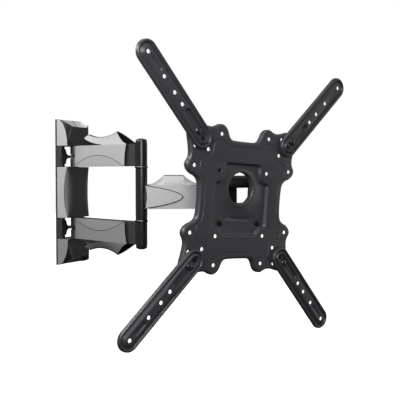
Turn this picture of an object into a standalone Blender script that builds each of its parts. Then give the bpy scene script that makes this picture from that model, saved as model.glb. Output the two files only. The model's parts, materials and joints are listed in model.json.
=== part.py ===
"""Full motion TV wall mount: wall unit, twin rear arms, front arm, swivel and tilt head, TV plate.

Lengths in the constants are millimetres; the scene is in metres with +Z up. The wall is the plane
y = 0 and the mount reaches out towards -Y. Every link is modelled straight out along -Y round its
own axis and hangs from an empty that stands on that axis and holds the link's angle at rest.
"""
import math

import bmesh
import bpy
from mathutils import Vector
from mathutils.geometry import tessellate_polygon

MM = 0.001
GAP = 0.4                 # clearance left between two separate pieces

# --- angles at rest, in degrees ---
REAR_SWING = -15.0        # rear arms, towards -X
ELBOW_SWING = 53.0        # front arm, back towards +X
HEAD_SWING = -59.5        # head, towards -X again
TILT = 2.4                # top edge of the TV plate forward
LEVEL = 3.0               # roll set by the levelling slots

# --- wall unit ---
WALL_W, WALL_H, WALL_T = 60.0, 252.0, 3.0
COVER_D, COVER_T = 26.0, 2.0
PIVOT_Y = 27.0            # wall to the rear arms' axis
FLANGE_D = 14.4           # side flanges of the wall plate

# --- rear arms: two steel tubes, one above and one below the middle ---
REAR_L = 165.0
TUBE_Z0, TUBE_Z1 = 44.5, 80.0
TUBE_HALF = 9.5
TUBE_WALL = 2.5
KNUCKLE_R = 14.5
PIN_R = 5.0
SLOT_HALF = 3.6           # slot in the knuckle that takes the wall tongue
TONGUE_HALF = 6.0
SHELL_HALF, SHELL_T = 13.6, 1.6
SHELL_S0, SHELL_S1 = 7.5, 144.0
LENS_D = 2.0              # depth of the lens-shaped facet along the inner edge
LENS_END = 133.0
HOOD_FOOT, HOOD_BEAK, HOOD_START, HOOD_END = 82.0, 25.0, 32.5, 106.0
HOOD_H, HOOD_DIP, HOOD_COUNT = 22.0, 14.0, 9

# --- elbow ---
POST_R, POST_END = 9.4, 84.0
DOME = 4.5
SHAFT_R, SHAFT_END = 5.0, 81.5
RING_R = 10.5

# --- front arm ---
FRONT_L = 127.0
FRONT_Z0, FRONT_Z1 = -23.5, 15.0
FRONT_END = 104.0         # where the silver cover stops, short of the head
FRONT_POST = 41.0
HUMP_H = 15.0
INLAY_TIP = 65.0

# --- head ---
EYE_R = 11.0              # end of the front arm, round the swivel pin
HEAD_REACH = 55.0         # swivel axis to the front of the TV plate
TILT_Y, TILT_Z = 27.0, 19.5
FORK_HALF, FORK_T = 22.0, 3.0
SLEEVE_R, SLEEVE_HALF = 10.0, 48.4
LOCK_DY, LOCK_DZ = 4.0, -40.0   # lock bolt from the tilt axis
EAR_U, EAR_T = 49.4, 2.5

# --- TV plate ---
SHEET = 2.0
PLATE_DROP = 8.5          # middle of the VESA pattern below the arms' middle
VESA_DROP = 5.6           # the inner 100 mm square sits lower than the outer holes
RECESS = 5.0
RIM = 9.0
HOLE_R, HOLE_W = 25.0, 18.5
LEVEL_BOLT_U, LEVEL_BOLT_DOWN = 40.0, 54.5
LEVEL_BOLT_R = math.hypot(LEVEL_BOLT_U, LEVEL_BOLT_DOWN)
ARM_PIVOT = 100.0
ARM_REACH = 141.4         # pivot to the outermost hole: the 400 x 400 corner
ARM_HALF = 17.5
ARM_LOW = -12.0           # inner end of an extension arm, past its pivot
ARM_FRONT = 7.0

for old in list(bpy.data.objects):
    bpy.data.objects.remove(old, do_unlink=True)


# ---------------------------------------------------------------- materials
def material(name, colour, metallic, roughness):
    made = bpy.data.materials.new(name)
    made.use_nodes = True
    shader = made.node_tree.nodes["Principled BSDF"]
    shader.inputs["Base Color"].default_value = (*colour, 1.0)
    shader.inputs["Metallic"].default_value = metallic
    shader.inputs["Roughness"].default_value = roughness
    return made


SILVER = ((0.42, 0.42, 0.43), 0.3, 0.35)
BLACK_GLOSS = ((0.012, 0.012, 0.013), 0.0, 0.18)
BLACK_PLASTIC = ((0.02, 0.02, 0.021), 0.0, 0.5)
DARK_STEEL = ((0.045, 0.045, 0.048), 0.6, 0.45)
POWDER = ((0.03, 0.03, 0.034), 0.4, 0.42)
ZINC = ((0.35, 0.35, 0.36), 1.0, 0.3)
BLACK_BOLT = ((0.02, 0.02, 0.02), 0.8, 0.3)
NYLON = ((0.03, 0.03, 0.03), 0.0, 0.55)


# ---------------------------------------------------------------- axes of the links
def axis(name, parent, place, turn):
    """An empty on a joint's axis; turn is its angle at rest, as an Euler rotation in degrees."""
    made = bpy.data.objects.new(name, None)
    made.empty_display_size = 0.02
    made.parent = parent
    made.location = [v * MM for v in place]
    made.rotation_euler = [math.radians(v) for v in turn]
    bpy.context.collection.objects.link(made)
    return made


wall = axis("axis_wall", None, (0, 0, 0), (0, 0, 0))
rear = axis("axis_rear", wall, (0, -PIVOT_Y, 0), (0, 0, REAR_SWING))
front = axis("axis_front", rear, (0, -REAR_L, 0), (0, 0, ELBOW_SWING))
head = axis("axis_head", front, (0, -FRONT_L, 0), (0, 0, HEAD_SWING))
tilt = axis("axis_tilt", head, (0, -TILT_Y, TILT_Z), (TILT, 0, 0))
LEVEL_Y = HEAD_REACH - TILT_Y
LEVEL_Z = HOLE_W - PLATE_DROP - TILT_Z
level = axis("axis_level", tilt, (0, -LEVEL_Y, LEVEL_Z), (0, LEVEL, 0))
# The level frame has its origin in the round hole; the VESA middle is HOLE_W below it.
corners = {
    "upper_left": axis("axis_upper_left", level, (-ARM_PIVOT, 0, ARM_PIVOT - HOLE_W), (0, -45, 0)),
    "upper_right": axis("axis_upper_right", level, (ARM_PIVOT, 0, ARM_PIVOT - HOLE_W), (0, 45, 0)),
    "lower_left": axis("axis_lower_left", level, (-ARM_PIVOT, 0, -ARM_PIVOT - HOLE_W), (0, -135, 0)),
    "lower_right": axis("axis_lower_right", level, (ARM_PIVOT, 0, -ARM_PIVOT - HOLE_W), (0, 135, 0)),
}


# ---------------------------------------------------------------- mesh helpers
class Surface:
    """Points and faces of one piece, gathered loop by loop."""

    def __init__(self):
        self.points, self.faces = [], []

    def loop(self, points):
        start = len(self.points)
        self.points += points
        return list(range(start, len(self.points)))

    def bridge(self, a, b, closed=True):
        ends = len(a) if closed else len(a) - 1
        for i in range(ends):
            j = (i + 1) % len(a)
            self.faces.append((a[i], a[j], b[j], b[i]))

    def fill(self, outer, holes=(), flat=(0, 1)):
        """Triangles over a flat region; flat names the two axes it is seen along."""
        loops = [outer, *holes]
        seen = [[(self.points[i][flat[0]], self.points[i][flat[1]], 0.0) for i in one] for one in loops]
        index = [i for one in loops for i in one]
        for a, b, c in tessellate_polygon(seen):
            self.faces.append((index[a], index[b], index[c]))

    def build(self, name, parent, look, facing=None, sheet=0.0, smooth=None):
        """sheet thickens an open surface inwards, away from facing or, without one, from outside."""
        mesh = bpy.data.meshes.new(name)
        shape = bmesh.new()
        made = [shape.verts.new([c * MM for c in p]) for p in self.points]
        for face in self.faces:
            if len(set(face)) > 2:
                shape.faces.new([made[i] for i in dict.fromkeys(face)])
        bmesh.ops.remove_doubles(shape, verts=shape.verts, dist=0.0005 * MM)
        bmesh.ops.delete(shape, geom=[v for v in shape.verts if not v.link_faces], context="VERTS")
        bmesh.ops.recalc_face_normals(shape, faces=shape.faces)
        if sheet:
            shape.normal_update()
            areas = [(f.calc_area(), f.normal, f.calc_center_median()) for f in shape.faces]
            middle = sum((at * area for area, _, at in areas), Vector()) / sum(a for a, _, _ in areas)
            way = Vector(facing) if facing else None
            if sum(area * normal.dot(way or at - middle) for area, normal, at in areas) < 0:
                bmesh.ops.reverse_faces(shape, faces=shape.faces)
        shape.to_mesh(mesh)
        shape.free()
        piece = bpy.data.objects.new(name, mesh)
        piece.parent = parent
        bpy.context.collection.objects.link(piece)
        mesh.materials.append(material(name, *look))
        if sheet:
            solid = piece.modifiers.new("sheet", "SOLIDIFY")
            solid.thickness = sheet * MM
            solid.offset = -1.0
            solid.use_even_offset = True
        if smooth is not None:
            mesh.shade_smooth()
            mesh.set_sharp_from_angle(angle=math.radians(smooth))
        return piece


def circle(radius, count, at=(0.0, 0.0), start=0.0, sweep=360.0):
    steps = count if sweep == 360.0 else count - 1
    turn = [math.radians(start + sweep * i / steps) for i in range(count)]
    return [(at[0] + radius * math.cos(a), at[1] + radius * math.sin(a)) for a in turn]


def arc_between(a, b, sag, count):
    """Points from a to b along a parabola that bows sag to the left of the way."""
    length = math.dist(a, b)
    nx, ny = -(b[1] - a[1]) / length, (b[0] - a[0]) / length
    found = []
    for i in range(count):
        t = i / (count - 1)
        bow = 4.0 * sag * t * (1.0 - t)
        found.append((a[0] + (b[0] - a[0]) * t + nx * bow, a[1] + (b[1] - a[1]) * t + ny * bow))
    return found


def stadium(half, low, high, count=9):
    """A slot shape along the second axis, from the centre low of one end to the centre high."""
    return circle(half, count, (0, high), 0, 180) + circle(half, count, (0, low), 180, 180)


def arc_slot(radius, half, centre, low, high, at=(0.0, 0.0), count=5):
    """A slot along an arc: centre in radians, low and high in degrees from it."""
    turn = [centre + math.radians(low + (high - low) * i / (count - 1)) for i in range(count)]
    sides = [((radius + half), turn), ((radius - half), turn[::-1])]
    return [(at[0] + r * math.cos(a), at[1] + r * math.sin(a)) for r, angles in sides for a in angles]


def inward(points, inset):
    """The closed anticlockwise outline, moved in by inset along its normals."""
    moved = []
    for i, (x, y) in enumerate(points):
        (px, py), (qx, qy) = points[i - 1], points[(i + 1) % len(points)]
        length = math.dist((px, py), (qx, qy))
        moved.append((x - (qy - py) / length * inset, y + (qx - px) / length * inset))
    return moved


def flat_up(points, z):
    return [(x, y, z) for x, y in points]


def upright(points, forward):
    """Plate coordinates (right, up) and the distance forward of the plate's face."""
    return [(u, -forward, w) for u, w in points]


def prism(name, parent, look, outline, low, high, holes=(), place=flat_up, flat=(0, 1), smooth=35):
    """A flat slab with through holes; place puts the outline at each of its two levels."""
    made = Surface()
    ends = []
    for at in (low, high):
        rims = [made.loop(place(one, at)) for one in (outline, *holes)]
        made.fill(rims[0], rims[1:], flat)
        ends.append(rims)
    for a, b in zip(*ends):
        made.bridge(a, b)
    return made.build(name, parent, look, smooth=smooth)


def lathe(name, parent, look, profile, at=(0, 0, 0), along="Z", count=24, hexagon=False, smooth=35):
    """A turned piece: the closed profile of (radius, height) swept round the axis. A hexagon is a nut:
    its widest radius reaches the corners, and its bore stays round."""
    made = Surface()
    rings = []
    widest = max(radius for radius, _ in profile)
    for radius, height in profile:
        flat = circle(radius, 12 if hexagon else count)
        if hexagon and radius == widest:
            flat = [(x * k, y * k) for (x, y), k in zip(flat, 6 * (1.0, math.cos(math.radians(30))))]
        if along == "Z":
            ring = [(at[0] + x, at[1] + y, at[2] + height) for x, y in flat]
        elif along == "Y":
            ring = [(at[0] + x, at[1] - height, at[2] + y) for x, y in flat]
        else:
            ring = [(at[0] + height, at[1] + x, at[2] + y) for x, y in flat]
        rings.append((made.loop(ring), radius))
    for (a, wide_a), (b, wide_b) in zip(rings, rings[1:] + rings[:1]):
        if wide_a or wide_b:
            made.bridge(a, b)
    return made.build(name, parent, look, smooth=smooth)


def solid_profile(*steps):
    """Profile of a piece with no bore: closes both ends on the axis."""
    return [(0.0, steps[0][1]), *steps, (0.0, steps[-1][1])]


def ring_profile(inner, outer, low, high):
    return [(inner, low), (outer, low), (outer, high), (inner, high)]


def cut(piece, cutter, how="DIFFERENCE"):
    cutter.hide_render = True
    cutter.display_type = "WIRE"
    step = piece.modifiers.new(cutter.name, "BOOLEAN")
    step.object = cutter
    step.operation = how
    step.solver = "EXACT"
    return step


def box(name, parent, look, low, high):
    (x0, y0, z0), (x1, y1, z1) = low, high
    return prism(name, parent, look, [(x0, y0), (x1, y0), (x1, y1), (x0, y1)], z0, z1)


# ---------------------------------------------------------------- wall unit
def wall_plate():
    """Steel channel: cover zones full width, flanges beside the arms, a window behind each pivot."""
    half = WALL_W / 2
    windows = []
    for mid in (-(TUBE_Z0 + TUBE_Z1) / 2, (TUBE_Z0 + TUBE_Z1) / 2):
        for low, high in ((mid - 17.4, mid - 2.6), (mid + 2.6, mid + 17.4)):
            windows.append([(-8.6, low), (25.0, low), (25.0, high), (-8.6, high)])
    slots = []
    for mid in (-102.0, -24.0, 24.0, 102.0):
        slots.append([(x, mid + z) for z, x in stadium(3.6, -4.0, 4.0, 7)])
    outline = [(-half, -WALL_H / 2), (half, -WALL_H / 2), (half, WALL_H / 2), (-half, WALL_H / 2)]
    return prism("wall_plate", wall, DARK_STEEL, outline, 0.0, WALL_T, windows + slots, upright, (0, 2))


def flange(name, side, mid):
    """Side flange beside one arm: its free edge is hollowed towards the pivot."""
    low, high = mid - 17.4, mid + 17.4
    edge = arc_between((FLANGE_D, low), (FLANGE_D - 0.6, mid), 1.6, 6)
    edge += arc_between((FLANGE_D - 0.6, mid), (FLANGE_D, high), 1.6, 6)[1:]
    outline = [(WALL_T + GAP, low), *edge, (WALL_T + GAP, high)]
    x0 = side * (WALL_W / 2 - 0.2)
    x1 = x0 - side * 2.4
    made = Surface()
    rims = [made.loop([(x, -y, z) for y, z in outline]) for x in (x0, x1)]
    for rim in rims:
        made.fill(rim, (), (1, 2))
    made.bridge(*rims)
    return made.build(name, wall, DARK_STEEL)


def pivot_bracket(name, mid):
    """Tongue that reaches the pivot pin at mid height, with a hollowed rib above and below its root."""
    ring = circle(8.0, 13, (0, -PIVOT_Y), 180, 180)
    root = 9.4
    plan = [(root, -WALL_T - GAP), (-root, -WALL_T - GAP), (-root, -15.0), (-TONGUE_HALF, -PIVOT_Y + 6), *ring]
    plan += [(TONGUE_HALF, -PIVOT_Y + 6), (root, -15.0)]
    bore = circle(PIN_R + GAP, 16, (0, -PIVOT_Y))
    tongue = prism(name, wall, BLACK_PLASTIC, plan, mid - 1.5, mid + 1.5, [bore])
    for word, up in (("above", 1), ("below", -1)):
        rib = [(WALL_T + GAP, mid + up * 1.0), (WALL_T + GAP, mid + up * 13.0), (WALL_T + 1.2, mid + up * 12.6)]
        rib += [(y, mid + up * z) for y, z in arc_between((WALL_T + 1.6, 9.5), (14.2, 1.0), -2.6, 7)]
        made = Surface()
        rims = [made.loop([(x, -y, z) for y, z in rib]) for x in (-root + 0.1, -root + 2.6)]
        for rim in rims:
            made.fill(rim, (), (1, 2))
        made.bridge(*rims)
        cut(tongue, made.build(f"{name}_rib_{word}", wall, BLACK_PLASTIC), "UNION")
    return tongue


def end_cover(name, up):
    """Cover over one end of the wall plate: quarter-round side panels, hollow scoop across the top."""
    low, high = TUBE_Z1 + 0.6, WALL_H / 2
    height, half, count = high - low, WALL_W / 2 - 0.2, 7
    back = WALL_T + GAP + COVER_T
    made = Surface()
    arc = [(COVER_D * math.cos(math.radians(a)), low + height * math.sin(math.radians(a)))
           for a in [90.0 * i / (count + 3) for i in range(count + 4)]]
    columns = [(-half, arc)]
    for x in (-half + 2.5, -half * 0.62, -half * 0.3, 0.0, half * 0.3, half * 0.62, half - 2.5):
        lip = high - 3.5 - 9.0 * (1.0 - (x / (half - 2.5)) ** 2)
        face = [(COVER_D, low + (lip - low) * i / (count - 1)) for i in range(count)]
        face += [(COVER_D * (1 - t), lip + (high - lip) * t) for t in (0.25, 0.5, 0.75, 1.0)]
        columns.append((x, face))
    columns.append((half, arc))
    rims = []
    for x, profile in columns:
        rims.append(made.loop([(x, -back - y * (1.0 - back / COVER_D), up * z) for y, z in profile]))
    for a, b in zip(rims, rims[1:]):
        made.bridge(a, b, closed=False)
    for x, rim in ((-half, rims[0]), (half, rims[-1])):
        foot = made.loop([(x, -WALL_T - GAP, up * low)])
        made.faces += [(foot[0], rim[i], rim[i + 1]) for i in range(len(rim) - 1)]
    foot_a, foot_b = len(made.points) - 2, len(made.points) - 1
    made.faces.append((foot_a, *[rim[0] for rim in rims], foot_b))
    return made.build(name, wall, BLACK_GLOSS, facing=(0, -1, 0), sheet=COVER_T)


def middle_cover():
    """Cover between the two arms: a long lens-shaped chamfer, wider on the left, runs down each corner."""
    low, high = -TUBE_Z0 + 0.6, TUBE_Z0 - 0.6
    half = WALL_W / 2 - 0.2
    made = Surface()
    rows = []
    for i in range(11):
        z = low + (high - low) * i / 10
        lens = 1.0 - (z / high) ** 2
        side, left, right = 1.2 + 2.4 * lens, 1.2 + 7.0 * lens, 1.2 + 3.2 * lens
        plan = [(-half, WALL_T + GAP), (-half, COVER_D - side), (-half + left, COVER_D), (0.0, COVER_D)]
        plan += [(half - right, COVER_D), (half, COVER_D - side), (half, WALL_T + GAP)]
        rows.append(made.loop([(x, -y, z) for x, y in plan]))
    for a, b in zip(rows, rows[1:]):
        made.bridge(a, b, closed=False)
    made.faces += [tuple(rows[0]), tuple(rows[-1])]
    return made.build("wall_cover_middle", wall, BLACK_GLOSS, facing=(0, -1, 0), sheet=COVER_T)


def wall_pin(name, mid):
    """Pivot pin with a flat head above and below the knuckle; the wall tongue grips its middle."""
    end = (TUBE_Z1 - TUBE_Z0) / 2 - 1.6
    return lathe(name, wall, ZINC, solid_profile((PIN_R, -end), (PIN_R, end)), (0, -PIVOT_Y, mid), count=20)


def wall_washers(word, mid):
    for side, up in (("top", 1), ("bottom", -1)):
        low = 1.5 + GAP
        lathe(f"wall_washer_{word}_{side}", wall, NYLON,
              ring_profile(PIN_R + GAP, 13.4, up * low, up * (low + 1.2)), (0, -PIVOT_Y, mid), count=20)


# ---------------------------------------------------------------- rear arms
def arm_tube(name, up):
    """Steel channel of one rear arm: slotted knuckle at the wall, saddle against the elbow post."""
    knuckle = circle(KNUCKLE_R, 19, (0, 0), -12, 204)
    saddle = circle(POST_R + GAP, 9, (0, -REAR_L), 152, -124)
    plan = [*knuckle, (-TUBE_HALF, -8.0), *saddle, (TUBE_HALF, -8.0)]
    low, high = sorted((up * TUBE_Z0, up * TUBE_Z1))
    tube = prism(name, rear, DARK_STEEL, plan, low, high, [circle(PIN_R + GAP, 20)])
    mid = up * (TUBE_Z0 + TUBE_Z1) / 2
    pocket_low, pocket_high = sorted((up * (TUBE_Z0 + TUBE_WALL), up * (TUBE_Z1 + 5.0)))
    inner = TUBE_HALF - TUBE_WALL
    pocket = box(f"{name}_pocket", rear, DARK_STEEL, (-inner, -132.0, pocket_low), (inner, -36.0, pocket_high))
    slot = box(f"{name}_slot", rear, DARK_STEEL, (-16.0, -14.5, mid - SLOT_HALF), (16.0, 16.0, mid + SLOT_HALF))
    cut(tube, pocket)
    cut(tube, slot)
    return tube


def arm_cover(name, up):
    """Silver cover of one rear arm: two side walls and a hood whose ridge dips in the middle."""
    made = Surface()
    height = TUBE_Z1 - TUBE_Z0
    near = [SHELL_S0 + (HOOD_FOOT - SHELL_S0) * i / 4 for i in range(4)]

    def side_row(side, share):
        """One row of a side wall: share 0 is its free edge, 1 the hood's foot, None the facet's arc."""
        end = SHELL_S1 - 4.5 * (1.0 - (share or 0.0)) ** 0.6
        row = []
        for i in range(len(near) + HOOD_COUNT):
            s = near[i] if i < len(near) else HOOD_FOOT + (end - HOOD_FOOT) * (i - len(near)) / (HOOD_COUNT - 1)
            lens = max(0.0, 1.0 - ((2.0 * s - SHELL_S0 - LENS_END) / (LENS_END - SHELL_S0)) ** 2)
            drop = 0.03 + 0.47 * lens if share is None else share
            x = SHELL_HALF - (LENS_D * lens if share == 0.0 else 0.0)
            row.append((side * x, -s, up * (TUBE_Z0 + height * drop)))
        return row

    def hood_row(side, share):
        """One row of the hood: share 0 is its foot on the side wall, 1 is the ridge."""
        start = HOOD_FOOT + (HOOD_BEAK - HOOD_FOOT) * share / 0.58
        if share > 0.58:
            start = HOOD_BEAK + (HOOD_START - HOOD_BEAK) * (share - 0.58) / 0.42
        end = SHELL_S1 - (SHELL_S1 - HOOD_END) * share ** 0.6
        row = []
        for i in range(HOOD_COUNT):
            t = i / (HOOD_COUNT - 1)
            s = start + (end - start) * t
            u = (s - HOOD_START) / (HOOD_END - HOOD_START)
            ridge = HOOD_DIP + (HOOD_H - HOOD_DIP) * (abs(u - 0.45) / 0.55) ** 2
            x = SHELL_HALF * (1.0 - share) ** 0.8 + 0.9 * share
            row.append((side * x, -s, up * (TUBE_Z1 + ridge * share)))
        return row

    both = []
    for side in (-1, 1):
        walls = [made.loop(side_row(side, share)) for share in (0.0, None, 1.0)]
        # The hood stands on the far part of the side wall; nearer the wall unit its foot is open.
        rows = [walls[-1][len(near):]] + [made.loop(hood_row(side, share)) for share in (0.29, 0.58, 0.8, 1.0)]
        for a, b in [*zip(walls, walls[1:]), *zip(rows, rows[1:])]:
            made.bridge(a, b, closed=False)
        both.append(rows[-1])
    made.bridge(*both, closed=False)
    cover = made.build(name, rear, SILVER, sheet=SHELL_T)
    # A thin web closes the wedge between the hood's beak and the root of the arm.
    web = [(SHELL_S0 + 1.0, 0.6), (HOOD_BEAK + 2.0, 12.0), (HOOD_START + 4.0, 16.6), (HOOD_START + 22.0, 13.0),
           (HOOD_FOOT - 4.0, 0.6)]
    plate = Surface()
    rims = [plate.loop([(x, -s, up * (TUBE_Z1 + z)) for s, z in web]) for x in (-0.7, 0.7)]
    for rim in rims:
        plate.fill(rim, (), (1, 2))
    plate.bridge(*rims)
    cut(cover, plate.build(f"{name}_web", rear, SILVER), "UNION")
    return cover


def elbow_post(name, up):
    """End of the elbow post: a blind barrel with a domed top, welded to its arm tube."""
    low = TUBE_Z0
    profile = [(SHAFT_R + GAP, low), (POST_R, low), (POST_R, POST_END - 1.4), (POST_R - 0.8, POST_END - 1.0)]
    profile += [(POST_R - 0.8, POST_END), (POST_R, POST_END + 0.4), (POST_R * 0.72, POST_END + 2.9)]
    profile += [(0.0, POST_END + DOME), (0.0, SHAFT_END + GAP), (SHAFT_R + GAP, SHAFT_END + GAP)]
    return lathe(name, rear, BLACK_GLOSS, [(r, up * z) for r, z in profile], (0, -REAR_L, 0))


def elbow_ring(name, up):
    low = FRONT_POST + GAP
    profile = [(SHAFT_R + GAP, low), (POST_R, low), (RING_R, low + 0.5), (RING_R, TUBE_Z0 - GAP - 0.5)]
    profile += [(POST_R, TUBE_Z0 - GAP), (SHAFT_R + GAP, TUBE_Z0 - GAP)]
    return lathe(name, rear, ZINC, [(r, up * z) for r, z in profile], (0, -REAR_L, 0))


# ---------------------------------------------------------------- front arm
def front_tube():
    """Steel channel of the front arm: saddle against the elbow post, eye for the swivel pin."""
    eye = circle(EYE_R, 17, (0, -FRONT_L), 168, 204)
    saddle = circle(POST_R + GAP, 9, (0, 0), -28, -124)
    plan = [*saddle, (-TUBE_HALF, -FRONT_L + 8.0), *eye, (TUBE_HALF, -FRONT_L + 8.0)]
    low, high = FRONT_Z0 + SHELL_T + GAP, FRONT_Z1 - SHELL_T - GAP
    bore = circle(PIN_R + GAP, 20, (0, -FRONT_L))
    tube = prism("front_arm_tube", front, DARK_STEEL, plan, low, high, [bore])
    inner = TUBE_HALF - TUBE_WALL
    pocket = box("front_arm_tube_pocket", front, DARK_STEEL,
                 (-inner, -FRONT_END + 4.0, low + TUBE_WALL), (inner, -16.0, high + 2.0))
    cut(tube, pocket)
    return tube


def front_cover():
    """Silver cover of the front arm: open underneath, with a flat-topped hump for the cable."""
    made = Surface()
    start = POST_R + 1.6
    stations = [start, 20.0, 30.0, 36.0, 50.0, 67.0, 73.0, 82.0, 92.0, FRONT_END]
    hump = [0.0, 2.2, 9.0, HUMP_H, HUMP_H, HUMP_H, 9.5, 4.0, 0.8, 0.0]
    rows = []
    for s, rise in zip(stations, hump):
        half, flat = SHELL_HALF, 3.0
        section = [(-half, FRONT_Z0), (-half, FRONT_Z1)]
        for t in (0.35, 0.7, 1.0):
            section.append((-half + (half - flat) * t ** 1.4, FRONT_Z1 + rise * t ** 0.8 + 0.3 * t))
        section += [(-x, z) for x, z in reversed(section)]
        rows.append(made.loop([(x, -s, z) for x, z in section]))
    for a, b in zip(rows, rows[1:]):
        made.bridge(a, b, closed=False)
    return made.build("front_arm_cover", front, SILVER, sheet=SHELL_T)


def front_inlay(name, side):
    """Parabola-shaped inlay on one side of the front arm, its root hollowed round the elbow post."""
    mid, half = (FRONT_Z0 + FRONT_Z1) / 2, (FRONT_Z1 - FRONT_Z0) / 2 - 0.3
    outline = []
    for i in range(23):
        t = -1.0 + 2.0 * i / 22
        outline.append((3.5 + (INLAY_TIP - 3.5) * (1.0 - t * t), mid + half * t))
    outline += arc_between(outline[-1], outline[0], -2.6, 7)[1:-1]
    made = Surface()
    x0 = side * (SHELL_HALF + GAP)
    rims = [made.loop([(x, -s, z) for s, z in outline]) for x in (x0, x0 + side * 1.8)]
    for rim in rims:
        made.fill(rim, (), (1, 2))
    made.bridge(*rims)
    return made.build(name, front, SILVER)


# ---------------------------------------------------------------- swivel and tilt head
def swivel_fork():
    """C-shaped fork over the end of the front arm, its web in front of the swivel pin."""
    eye_top, eye_low = FRONT_Z1 + 0.6, FRONT_Z0 - 0.6
    web = -(EYE_R + 2.6)
    sides = [(8.0, eye_low - FORK_T), (web - FORK_T, eye_low - FORK_T), (web - FORK_T, eye_top + 12.0)]
    sides += [(web, eye_top + 12.0), (web, eye_top + FORK_T), (8.0, eye_top + FORK_T), (8.0, eye_top)]
    sides += [(web, eye_top), (web, eye_low), (8.0, eye_low)]
    made = Surface()
    rims = [made.loop([(x, y, z) for y, z in sides]) for x in (-FORK_HALF, FORK_HALF)]
    for rim in rims:
        made.fill(rim, (), (1, 2))
    made.bridge(*rims)
    fork = made.build("swivel_fork", head, BLACK_PLASTIC)
    through = solid_profile((PIN_R + GAP, -40.0), (PIN_R + GAP, 40.0))
    bore = lathe("swivel_fork_bore", head, ZINC, through, count=20)
    cut(fork, bore)
    return fork


def tilt_bracket():
    """Steel bracket behind the plate: big bearing hole, levelling slots, two ears on the tilt bolt."""
    back = HEAD_REACH - TILT_Y - RECESS - SHEET - GAP      # tilt axis to the front of the base
    lift = LEVEL_Z
    outline = [(-52.0, -68.0 + lift), (52.0, -68.0 + lift), (52.0, 28.0 + lift), (44.0, 36.0 + lift)]
    outline += [(-44.0, 36.0 + lift), (-52.0, 28.0 + lift)]
    slots = [circle(HOLE_R + 6.6, 28, (0, lift))]
    for side in (-1, 1):
        centre = math.atan2(-LEVEL_BOLT_DOWN, side * LEVEL_BOLT_U)
        slots.append(arc_slot(LEVEL_BOLT_R, 3.4, centre, -7.2, 7.2, (0, lift)))
    base = prism("tilt_bracket", tilt, BLACK_PLASTIC, outline, back - EAR_T, back, slots, upright, (0, 2))
    ear = [(back - 1.0, 22.0), *circle(13.0, 9, (0, 0), 80, 110)]
    ear += [*circle(11.0, 7, (-LOCK_DY, LOCK_DZ), 190, 90), (back - 1.0, LOCK_DZ - 8.0)]
    slot = arc_slot(math.hypot(LOCK_DY, LOCK_DZ), 3.4, math.atan2(LOCK_DZ, -LOCK_DY), -10.0, 20.0)
    for side in (-1, 1):
        made = Surface()
        ends = []
        for x in (side * EAR_U, side * (EAR_U + EAR_T)):
            rims = [made.loop([(x, -y, z) for y, z in one]) for one in (ear, circle(PIN_R - 0.6, 14), slot)]
            made.fill(rims[0], rims[1:], (1, 2))
            ends.append(rims)
        for a, b in zip(*ends):
            made.bridge(a, b)
        cut(base, made.build(f"tilt_bracket_ear_{side + 1}", tilt, BLACK_PLASTIC), "UNION")
    return base


# ---------------------------------------------------------------- TV plate
def softened(points):
    """One round of corner cutting on a closed outline."""
    found = []
    for (ax, ay), (bx, by) in zip(points, points[1:] + points[:1]):
        for t in (0.25, 0.75):
            found.append((ax + (bx - ax) * t, ay + (by - ay) * t))
    return found


def plate_outline():
    """Double ears beside each corner, hollow sides; one quarter is given and mirrored."""
    quarter = [(86.0, 16.0), (89.0, 32.0), (108.0, 39.0), (115.0, 51.0), (107.0, 62.0), (108.0, 76.0)]
    quarter += [(115.5, 104.0), (103.0, 117.0), (77.0, 109.5), (62.0, 110.0), (51.0, 116.5), (38.0, 111.0)]
    quarter += [(31.0, 92.5), (16.0, 91.5)]
    upper = quarter + [(-x, y) for x, y in reversed(quarter)]
    return softened(upper + [(x, -y) for x, y in reversed(upper)])


def recess_outline():
    top = 57.5
    right = [(56.0, -42.5), (56.0, -6.0), (56.0, 27.5), (46.0, 28.5), (39.5, 34.0), (37.5, 44.0), (37.5, top)]
    left = [(-x, y) for x, y in reversed(right)]
    foot = [(-45.0, -43.5), (-39.0, -49.0), (-35.0, -55.5), (35.0, -55.5), (39.0, -49.0), (45.0, -43.5)]
    return softened(right + left + foot)


def small_holes():
    """Centres of the round holes in the plate's face: VESA patterns first, then the locating holes."""
    found = []
    for i in (-1, 1):
        for j in (-1, 1):
            found += [(i * 50.0, j * 100.0), (i * 100.0, j * 50.0), (i * 50.0, j * 50.0 - VESA_DROP)]
            found += [(i * 75.0, j * 75.0), (i * 101.0, j * 79.0), (i * 79.0, j * 101.0)]
    return found


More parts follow.
